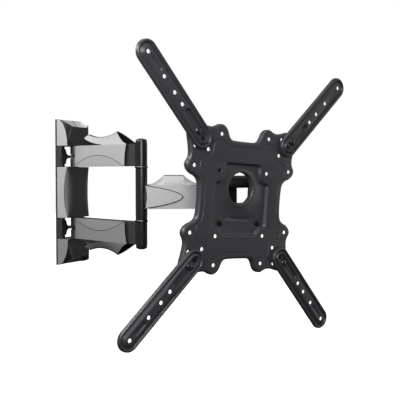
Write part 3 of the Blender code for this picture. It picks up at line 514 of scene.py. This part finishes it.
def elbow():
    """The elbow post in three lengths, with a groove under each domed end and a ring at each joint."""
    reach = -(spot("arm_swing") - spot("elbow_swing")).length / MM
    for word, up in (("upper", 1), ("lower", -1)):
        top = POST_END + 0.2
        profile = [(SHAFT_R, ZONE_LOW), (POST_R - EDGE, ZONE_LOW), (POST_R, ZONE_LOW + EDGE)]
        profile += [(POST_R, POST_END - 1.6), (POST_R - GROOVE, POST_END - 1.2)]
        profile += [(POST_R - GROOVE, POST_END - 0.2), (POST_R, top)]
        profile += [(POST_R * x, top + (DOME - 0.2) * y) for x, y in circle(1.0, 9, (0, 0), 8, 82)]
        profile += [(0.0, POST_END - 2.1), (SHAFT_R, POST_END - 2.1)]
        flipped = [(radius, up * z) for radius, z in profile]
        piece = turned(f"post_{word}", REAR, flipped, (0, reach, 0), "Z", [POST], count=64)
        show(piece, "rear_arms", "post_black", f"elbow_post_{word}")
        low, high = POST_MIDDLE + RING_GAP, ZONE_LOW - RING_GAP
        mid = (low + high) / 2
        bead = [(SHAFT_R, low)]
        for x, y in circle(1.0, 11, (0, 0), -90, 180):
            bead.append((POST_R + (RING_R - POST_R) * x, mid + (high - low) / 2 * y))
        bead.append((SHAFT_R, high))
        flipped = [(radius, up * z) for radius, z in bead]
        piece = turned(f"ring_{word}", REAR, flipped, (0, reach, 0), "Z", [RING], count=64)
        show(piece, "rear_arms", "zinc", f"elbow_ring_{word}")
    barrel = [(SHAFT_R, -POST_MIDDLE), (POST_R - EDGE, -POST_MIDDLE), (POST_R, -POST_MIDDLE + EDGE)]
    barrel += [(radius, -z) for radius, z in reversed(barrel)]
    piece = turned("post_middle", FRONT, barrel, (0, 0, 0), "Z", [POST], count=64)
    show(piece, "front_arm", "post_black", "elbow_post_middle")


# ---------------------------------------------------------------- front arm
FRONT_Z0, FRONT_Z1, FRONT_START, FRONT_END, FRONT_STEPS = -23.5, 15.0, 11.0, 104.0, 62
HUMP_H, HUMP_POWER, LID_START, LID_END, LID_HALF, CROWN = 15.0, 0.85, 36.0, 67.0, 3.0, 0.3
INLAY_FOOT, INLAY_TIP, INLAY_HOLLOW, INLAY_GAP = 3.5, 65.0, 10.4, 0.4
INLAY_INSET, INLAY_STEPS, FOOT_STEPS = 0.3, 60, 16


def front_cover():
    """Silver cover of the front arm with its flat-topped hump, whose lid is black; its inside and rims are black
    as painted shade.
    """
    made = Shape()
    stations = [FRONT_START, 20.0, 30.0, LID_START, 50.0, LID_END, 73.0, 82.0, 92.0, FRONT_END]
    hump = [0.0, 2.2, 9.0, HUMP_H, HUMP_H, HUMP_H, 9.5, 4.0, 0.8, 0.0]
    even = {FRONT_START + (FRONT_END - FRONT_START) * i / FRONT_STEPS for i in range(FRONT_STEPS + 1)}
    along = sorted(even | {LID_START, LID_END})
    rows = []
    for s in along:
        rise = between(stations, hump, s)
        section = [(-SHELL_HALF, FRONT_Z0), (-SHELL_HALF, FRONT_Z1)]
        for t in [i / 10 for i in range(1, 11)]:
            z = FRONT_Z1 + rise * t ** HUMP_POWER + CROWN * t
            section.append((-SHELL_HALF + (SHELL_HALF - LID_HALF) * t, z))
        section += [(-x, z) for x, z in reversed(section)]
        rows.append(made.loop([(x, -s, z) for x, z in section]))
    lid = len(rows[0]) // 2 - 1
    for s, a, b in zip(along, rows, rows[1:]):
        for j in range(len(a) - 1):
            made.face((a[j], a[j + 1], b[j + 1], b[j]), int(abs(j - lid) < 2 and LID_START <= s < LID_END))
    piece = made.build("front_shell", FRONT, [SILVER, LINE], sheet=SHELL_T, smooth=16, shade_inside=1)
    return show(piece, "front_arm", "cover_silver", "front_arm_cover")


def front_inlay(hand, side):
    """Dotted inlay on a side of the front arm: a parabola's outline with a hollow foot and a dark rim."""
    mid, half = (FRONT_Z0 + FRONT_Z1) / 2, (FRONT_Z1 - FRONT_Z0) / 2 - INLAY_INSET
    outline = []
    for i in range(INLAY_STEPS + 1):
        t = -1.0 + 2.0 * i / INLAY_STEPS
        outline.append((INLAY_FOOT + (INLAY_TIP - INLAY_FOOT) * (1.0 - t * t), mid + half * t))
    (s0, z0), (s1, z1) = outline[-1], outline[0]
    for i in range(1, FOOT_STEPS):
        t = i / FOOT_STEPS
        outline.append((s0 + (s1 - s0) * t + INLAY_HOLLOW * t * (1 - t), z0 + (z1 - z0) * t))
    made = Shape()
    x0 = SHELL_HALF + INLAY_GAP
    rims = []
    for inset, out in ((0.0, 0.0), (0.0, 1.4), (0.35, 1.8), (1.1, 1.8), (1.3, 1.5)):
        rims.append(made.loop([(side * (x0 + out), -s, z) for s, z in inward(outline, inset)]))
    made.fill(rims[0], (), (1, 2), 1)
    made.chain(rims, look=1)
    made.fill(rims[-1], (), (1, 2))
    piece = made.build(f"inlay_{hand}", FRONT, [DOTTED, LINE], smooth=30)
    return show(piece, "front_arm", "cover_silver", f"front_inlay_{hand}")


# ---------------------------------------------------------------- TV plate
HOLE_R, HOLE_W, RECESS, SHEET, RIM, EAR_T = 25.0, 18.5, 5.0, 2.0, 9.0, 2.5
SHEET_DRAWN = SHEET - 0.05  # a hair thin, so that backs don't lie in the faces of what they touch
MARK_HALF, MARK_REACH, MARK_DROP, MARK_GROWN = 2.2, (-19.0, 18.0), 29.5, 1.2  # the pressed bar under the hole
ARM_PIVOT, VESA_DROP, LEVEL_BOLT = 100.0, 5.6, (40.0, -36.0)
SCREW_R, PIVOT_R, LEVEL_R = 3.0, 4.4, 3.2
DISH, PUNCH = 0.5, 1.6  # how far a punched hole is drawn in, and how deep its wall goes


def mirrored(quarter):
    """A closed outline from the points of its upper right quarter, with its corners softened."""
    upper = quarter + [(-x, y) for x, y in reversed(quarter)]
    return softened(upper + [(x, -y) for x, y in reversed(upper)], 3)


def plate_outline():
    quarter = [(86.0, 16.0), (89.0, 32.0), (108.0, 39.0), (115.0, 51.0), (107.0, 62.0), (108.0, 76.0)]
    quarter += [(115.5, 104.0), (103.0, 117.0), (77.0, 109.5), (62.0, 110.0), (51.0, 116.5), (38.0, 111.0)]
    quarter += [(31.0, 92.5), (16.0, 91.5)]
    return mirrored(quarter)


def border_line():
    """The shallow groove that runs inside the edge and round the outer holes."""
    quarter = [(77.0, 18.0), (80.0, 32.0), (90.0, 39.0), (90.5, 50.0), (88.0, 60.0), (76.0, 65.0), (66.0, 70.0)]
    quarter += [(65.0, 84.0), (59.0, 91.0), (50.0, 91.5), (42.0, 90.0), (36.0, 83.5), (24.0, 82.0)]
    return mirrored(quarter)


def recess_outline():
    """The sunken middle: narrow at the top and bottom, wide in between."""
    right = [(56.0, -42.5), (56.0, -6.0), (56.0, 27.5), (46.0, 28.5), (39.5, 34.0), (37.5, 44.0), (37.5, 57.5)]
    left = [(-x, y) for x, y in reversed(right)]
    foot = [(-45.0, -43.5), (-39.0, -49.0), (-35.0, -55.5), (35.0, -55.5), (39.0, -49.0), (45.0, -43.5)]
    return rounded(right + left + foot, 6.0)


def tv_plate():
    """Pressed plate: rolled rim, sunken middle with a lipped round hole, punched holes, level screws."""
    made = Shape()

    def ring_of(points, inset, forward):
        return made.loop([(u, -forward, w - HOLE_W) for u, w in (inward(points, inset) if inset else points)])

    def hole(radius, at, level):
        rings = []
        for r, deep in ((radius + DISH, 0.0), (radius, DISH), (radius, PUNCH)):
            rings.append(ring_of(circle(r, 20, at), 0, level - deep))
        made.chain(rings)
        return rings[0]

    edge = plate_outline()
    rim = [(0.0, -RIM), (0.0, -3.6), (0.25, -2.3), (0.95, -1.2), (2.0, -0.4), (3.3, -0.05), (4.2, 0.0)]
    rims = [ring_of(edge, inset, at) for inset, at in rim]
    made.chain(rims)
    outer_holes, inner_holes = [], []
    for i in (-1, 1):
        for j in (-1, 1):
            for at in ((50, 100), (100, 50), (75, 75), (101, 79), (79, 101)):
                outer_holes.append(hole(SCREW_R, (i * at[0], j * at[1]), 0.0))
            inner_holes.append(hole(SCREW_R, (i * 50.0, j * 50.0 - VESA_DROP), 0.0))
            outer_holes.append(hole(PIVOT_R, (i * ARM_PIVOT, j * ARM_PIVOT), 0.0))
    sunk = recess_outline()
    wall = [(-1.6, 0.0), (-0.8, -0.15), (0.0, -0.7), (1.1, -2.5), (2.2, -4.3), (3.0, -4.85), (3.8, -RECESS)]
    steps = [ring_of(sunk, inset, at) for inset, at in wall]
    made.chain(steps)
    trench = ((-1.1, 0.0), (-0.5, -0.5), (0.5, -0.5), (1.1, 0.0))
    groove = [ring_of(border_line(), inset, at) for inset, at in trench]
    made.chain(groove)
    made.fill(rims[-1], [*outer_holes, groove[0]])
    made.fill(groove[-1], [*inner_holes, steps[0]])
    lip = ((5.5, 0.0), (4.3, -0.6), (2.8, -1.1), (1.2, -0.9), (0.3, 0.2), (0.0, 1.8), (0.0, 7.0))
    rings = [ring_of(circle(HOLE_R + out, 64, (0, HOLE_W)), 0, -RECESS - deep) for out, deep in lip]
    made.chain(rings)
    floor = [rings[0]]
    for side in (-1, 1):
        floor.append(hole(LEVEL_R, (side * LEVEL_BOLT[0], LEVEL_BOLT[1]), -RECESS))
    slot = stadium(MARK_HALF, *MARK_REACH, 11)
    marks = []
    for inset, deep in ((0.0, 0.0), (0.5, 0.2), (1.1, 0.75), (1.7, 0.95)):
        lying = [(v, u - MARK_DROP) for u, v in reversed(inward(slot, inset - MARK_GROWN))]
        marks.append(ring_of(lying, 0, -RECESS - deep))
    made.chain(marks)
    made.fill(marks[-1])
    floor.append(marks[0])
    made.fill(steps[-1], floor)
    piece = made.build("plate_pressing", PLATE, [POWDER], sheet=SHEET_DRAWN, facing=(0, -1, 0), smooth=38)
    show(piece, "plate", "powder_black", "tv_plate")
    back = -RECESS - SHEET - EAR_T
    for hand, side in (("left", -1), ("right", 1)):
        stud = [(0.0, back - 5.0), (4.6, back - 5.0), (5.2, back - 4.4), (5.2, back - 0.8), (3.0, back - 0.8)]
        stud += [(3.0, 0.4 - RECESS), (4.6, 0.4 - RECESS), (4.6, 1.3 - RECESS), (4.2, 2.1 - RECESS)]
        stud += [(3.3, 2.6 - RECESS), (2.1, 2.8 - RECESS), (1.9, 1.2 - RECESS), (0.0, 1.2 - RECESS)]
        centre = (side * LEVEL_BOLT[0], 0, LEVEL_BOLT[1] - HOLE_W)
        piece = turned(f"level_screw_{hand}", PLATE, stud, centre, "Y", [OXIDE], count=32)
        show(piece, "plate", "bolt_black", f"level_bolt_{hand}")


# ---------------------------------------------------------------- extension arms
ARM_REACH, ARM_HALF, ARM_FRONT, ARM_LOW = 141.4, 17.5, 7.0, -12.0
WIDE_TO, NARROW_FROM = 40.0, 52.0  # the raised strip narrows between these
ARM_HOLES = (49.5, 70.7, 99.0, ARM_REACH)
# Steps over the arm's edge and groove: inset, distance forward, and how much narrower it is past the pocket.
ARM_STEPS = [(0.0, 0.8, 0.0), (0.0, 3.6, 0.0), (0.25, 4.7, 0.0), (0.9, 5.7, 0.0), (1.9, 6.35, 0.0),
             (2.8, 6.55, 0.0), (3.6, 6.3, 0.0), (4.2, 5.5, 0.0), (4.7, 4.5, 0.0), (5.2, 3.8, 0.0),
             (5.8, 3.6, 0.1), (8.4, 6.5, 2.0), (8.9, 6.9, 2.2), (9.4, ARM_FRONT, 2.3)]
POCKET_D, POCKET_TOP, BOLT_HOLE_R = 3.8, 33.0, 4.5
POCKET_STEPS = [(7.4, 0.0), (7.0, 0.25), (6.7, 1.4), (6.4, 2.8), (5.9, 3.6), (5.2, POCKET_D)]
PRESS_FROM, PRESS_TO = 112.0, 129.0
PRESS_STEPS = [(4.0, 0.0), (3.7, 0.2), (3.2, 0.9), (2.8, 1.1)]


def extension_arm(corner):
    """Pressed arm: rolled edge, groove, raised strip with its holes, pivot pocket and a stiffening press."""
    made = Shape()

    def round_at(radius, deep, along):
        return made.loop([(u, deep - ARM_FRONT, w) for u, w in circle(radius, 20, (0.0, along))])

    def press(steps, low, high, count):
        """A slot-shaped dent in the raised strip; steps are (half width, depth)."""
        rings = []
        for half, deep in steps:
            rings.append(made.loop([(u, deep - ARM_FRONT, w) for u, w in stadium(half, low, high, count)]))
        made.chain(rings)
        return rings

    rims = []
    for inset, forward, narrow in ARM_STEPS:
        half = ARM_HALF - inset
        outline = circle(half - narrow, 21, (0, ARM_REACH), 0, 180)
        outline += [(narrow - half, NARROW_FROM), (-half, WIDE_TO)]
        outline += circle(half, 21, (0, ARM_LOW), 180, 180)
        outline += [(half, WIDE_TO), (half - narrow, NARROW_FROM)]
        rims.append(made.loop([(u, -forward, w) for u, w in outline]))
    made.chain(rims)
    pocket = press(POCKET_STEPS, ARM_LOW - 0.5, POCKET_TOP, 13)
    holes = [pocket[0]]
    for along in ARM_HOLES:
        rings = [round_at(radius, deep, along) for radius, deep in ((3.6, 0.0), (3.1, 0.4), (3.1, 1.6))]
        made.chain(rings)
        holes.append(rings[0])
    dent = press(PRESS_STEPS, PRESS_FROM, PRESS_TO, 9)
    made.fill(dent[-1])
    holes.append(dent[0])
    made.fill(rims[-1], holes)
    made.fill(pocket[-1], [round_at(BOLT_HOLE_R, POCKET_D, 0.0)])
    piece = made.build(f"pressed_arm_{corner}", ARMS[corner], [POWDER], sheet=SHEET_DRAWN,
                       facing=(0, -1, 0), smooth=38)
    show(piece, f"arm_{corner}", "powder_black", f"extension_arm_{corner}")
    head = [(0.0, -9.6), (4.0, -9.6), (4.0, 3.5), (6.1, 3.5), (6.1, 4.2), (5.8, 5.0), (5.0, 5.8), (3.8, 6.4)]
    head += [(2.0, 6.8), (0.0, 6.9)]
    piece = turned(f"pivot_bolt_{corner}", ARMS[corner], head, (0, 0, 0), "Y", [BOLT], count=36)
    show(piece, "plate", "bolt_black", f"arm_bolt_{corner}")
    stud = [(0.0, -4.6), (3.1, -4.6), (3.1, 3.9), (2.8, 4.6), (2.1, 4.9), (0.0, 5.0)]
    piece = turned(f"stop_rivet_{corner}", ARMS[corner], stud, (0, 0, ARM_LOW - 1.5), "Y", [OXIDE], count=28)
    show(piece, f"arm_{corner}", "bolt_black")


# ---------------------------------------------------------------- everything in its place
# The top scoop is painted silver as a painted highlight, with painted shade in its crease; the bottom scoop stays
# black.
end_cover("top", 1, SILVER, scoop_painted_light=1, crease_painted_shade=2)
# The bottom cover's side panels are the darkened silver, painted shade on the same paint.
end_cover("bottom", -1, SHADED_SILVER, scoop_painted_light=0, crease_painted_shade=0)
middle_cover()
# The upper hood web is black, painted shade; the lower one is the darkened silver.
arm_cover("upper", 1, SILVER, LINE)
# The lower arm cover takes the darkened silver as painted shade.
arm_cover("lower", -1, SHADED_SILVER, SHADED_SILVER)
elbow()
front_cover()
front_inlay("left", -1)
front_inlay("right", 1)
tv_plate()
for corner in CORNERS:
    extension_arm(corner)

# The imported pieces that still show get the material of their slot.
CAD_LOOKS = {"dark_steel": TUBE, "black_cast": CAST, "cover_black": GLOSS, "post_black": POST,
             "cover_silver": SILVER, "powder_black": POWDER, "zinc": ZINC, "bolt_black": OXIDE, "nylon": NYLON}
slots = {part["node"]: part["material_slot"] for part in frame["record"]["subparts"]}
for name, cad in frame["nodes"].items():
    if not cad.hide_render:
        for place in cad.material_slots:
            place.material = CAD_LOOKS[slots[name]]


# ---------------------------------------------------------------- studio
def area_light(name, at, wide, tall, power, aim=(-0.02, -0.1, 0.0)):
    """A soft rectangle of light that the camera doesn't see; places in metres, power in watts."""
    data = bpy.data.lights.new(name, "AREA")
    data.shape, data.size, data.size_y, data.energy = "RECTANGLE", wide, tall, power
    lamp = bpy.data.objects.new(name, data)
    lamp.location = at
    lamp.rotation_euler = (Vector(aim) - Vector(at)).to_track_quat("-Z", "Y").to_euler()
    lamp.visible_camera = False
    bpy.context.scene.collection.objects.link(lamp)


area_light("key_left", (-0.66, -0.4, 0.34), 0.36, 0.36, 4.0, aim=(-0.03, -0.15, 0.04))
area_light("wall_left", (-0.38, 0.12, 0.42), 0.26, 0.26, 2.8, aim=(-0.03, -0.06, 0.03))
area_light("fill_front", (-1.3, -1.1, 0.4), 0.8, 0.8, 7.0)
area_light("strip_right", (0.75, -1.15, 0.15), 0.4, 1.2, 1.4)
area_light("top_soft", (-0.1, -0.3, 0.95), 0.6, 0.6, 1.6)

# The floor glows evenly, so that it runs into the white behind without a horizon, and lights nothing.
FLOOR_HALF, FLOOR_Z = 9, -0.7
floor_mesh = bpy.data.meshes.new("floor")
floor_corners = [(x * FLOOR_HALF, y * FLOOR_HALF, FLOOR_Z) for x, y in ((-1, -1), (1, -1), (1, 1), (-1, 1))]
floor_mesh.from_pydata(floor_corners, [], [(0, 1, 2, 3)])
floor = bpy.data.objects.new("floor", floor_mesh)
FLOOR = finish("studio_floor", (0.86, 0.86, 0.86), (0.9, 0.9, 0.9), 3, (0.7, 0.8), 0.02)
floor_shader = FLOOR.node_tree.nodes["Principled BSDF"]
floor_shader.inputs["Emission Color"].default_value = (1, 1, 1, 1)
floor_shader.inputs["Emission Strength"].default_value = 1.0
floor_mesh.materials.append(FLOOR)
floor.visible_diffuse = floor.visible_glossy = False
bpy.context.scene.collection.objects.link(floor)

# White behind the object for the camera; the light it gives is dimmer, and dimmest from well below.
DIM_BELOW, DIM, BRIGHT = -0.6, 0.05, 0.42
world = bpy.data.worlds.new("studio")
world.use_nodes = True
bpy.context.scene.world = world
sky = world.node_tree
seen = sky.nodes["Background"]
seen.inputs["Color"].default_value = (1, 1, 1, 1)
glow = node(sky, "ShaderNodeBackground", Strength=1.0)
heading = node(sky, "ShaderNodeTexCoord")
split = node(sky, "ShaderNodeSeparateXYZ")
sky.links.new(heading.outputs["Generated"], split.inputs["Vector"])
fade = node(sky, "ShaderNodeValToRGB")
fade.color_ramp.elements[0].color = (DIM, DIM, DIM, 1)
fade.color_ramp.elements[1].color = (BRIGHT, BRIGHT, BRIGHT, 1)
rise = node(sky, "ShaderNodeMapRange")
rise.inputs["From Min"].default_value = DIM_BELOW
sky.links.new(split.outputs["Z"], rise.inputs["Value"])
sky.links.new(rise.outputs["Result"], fade.inputs["Fac"])
sky.links.new(fade.outputs["Color"], glow.inputs["Color"])
ray = node(sky, "ShaderNodeLightPath")
pick = node(sky, "ShaderNodeMixShader")
sky.links.new(ray.outputs["Is Camera Ray"], pick.inputs["Fac"])
sky.links.new(glow.outputs["Background"], pick.inputs[1])
sky.links.new(seen.outputs["Background"], pick.inputs[2])
sky.links.new(pick.outputs["Shader"], sky.nodes["World Output"].inputs["Surface"])
bpy.context.scene.view_settings.view_transform = "Standard"

camera = bpy.data.objects.new("camera", bpy.data.cameras.new("camera"))
camera.data.lens, camera.data.sensor_width = LENS_MM, SENSOR_MM
camera.data.clip_start = 0.01
camera.location = CAMERA_AT
camera.rotation_euler = CAMERA_LOOK.to_track_quat("-Z", "Y").to_euler()
bpy.context.scene.collection.objects.link(camera)
bpy.context.scene.camera = camera
